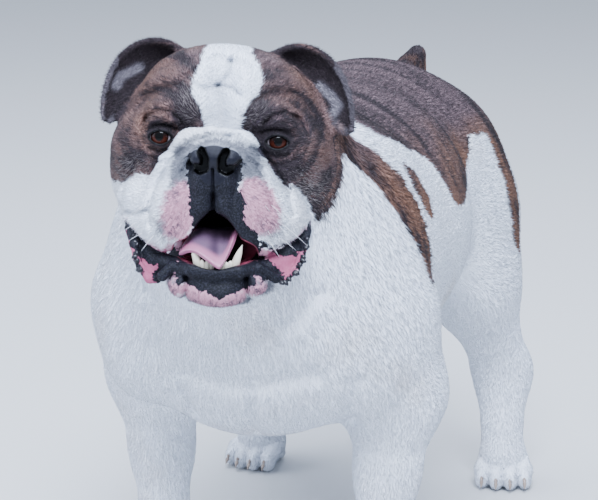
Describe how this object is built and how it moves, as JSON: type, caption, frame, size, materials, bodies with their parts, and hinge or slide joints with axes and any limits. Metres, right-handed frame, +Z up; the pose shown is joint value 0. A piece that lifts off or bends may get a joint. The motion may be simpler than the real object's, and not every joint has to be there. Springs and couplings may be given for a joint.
{
  "type": "english bulldog",
  "caption": "Life-size standing english bulldog, white with brindle patches, head turned a little to its left and mouth open.",
  "frame": {"origin": "on the floor, below the middle of the dog's outline box", "axes": "+Z up, -Y the way the dog's body faces, +X the dog's left side"},
  "size_m": [0.3084, 0.615, 0.479],
  "materials": {
    "white_coat": "short flat white fur",
    "brindle_coat": "short flat brown fur with dark stripes",
    "nose_leather": "moist black pebbled skin",
    "wet_skin": "wet pink skin",
    "eye": "clear and wet"
  },
  "bodies": {
    "root": {"head": "brindle_coat", "jaw": "white_coat", "tongue": "wet_skin", "nose": "nose_leather", "ear_left": "brindle_coat", "ear_right": "brindle_coat", "eye_left": "eye", "eye_right": "eye", "neck": "white_coat", "torso": "white_coat", "tail": "brindle_coat", "foreleg_left": "white_coat", "foreleg_right": "white_coat", "forepaw_left": "white_coat", "forepaw_right": "white_coat", "hindleg_left": "white_coat", "hindleg_right": "white_coat", "hindpaw_left": "white_coat", "hindpaw_right": "white_coat"}
  },
  "joints": []
}
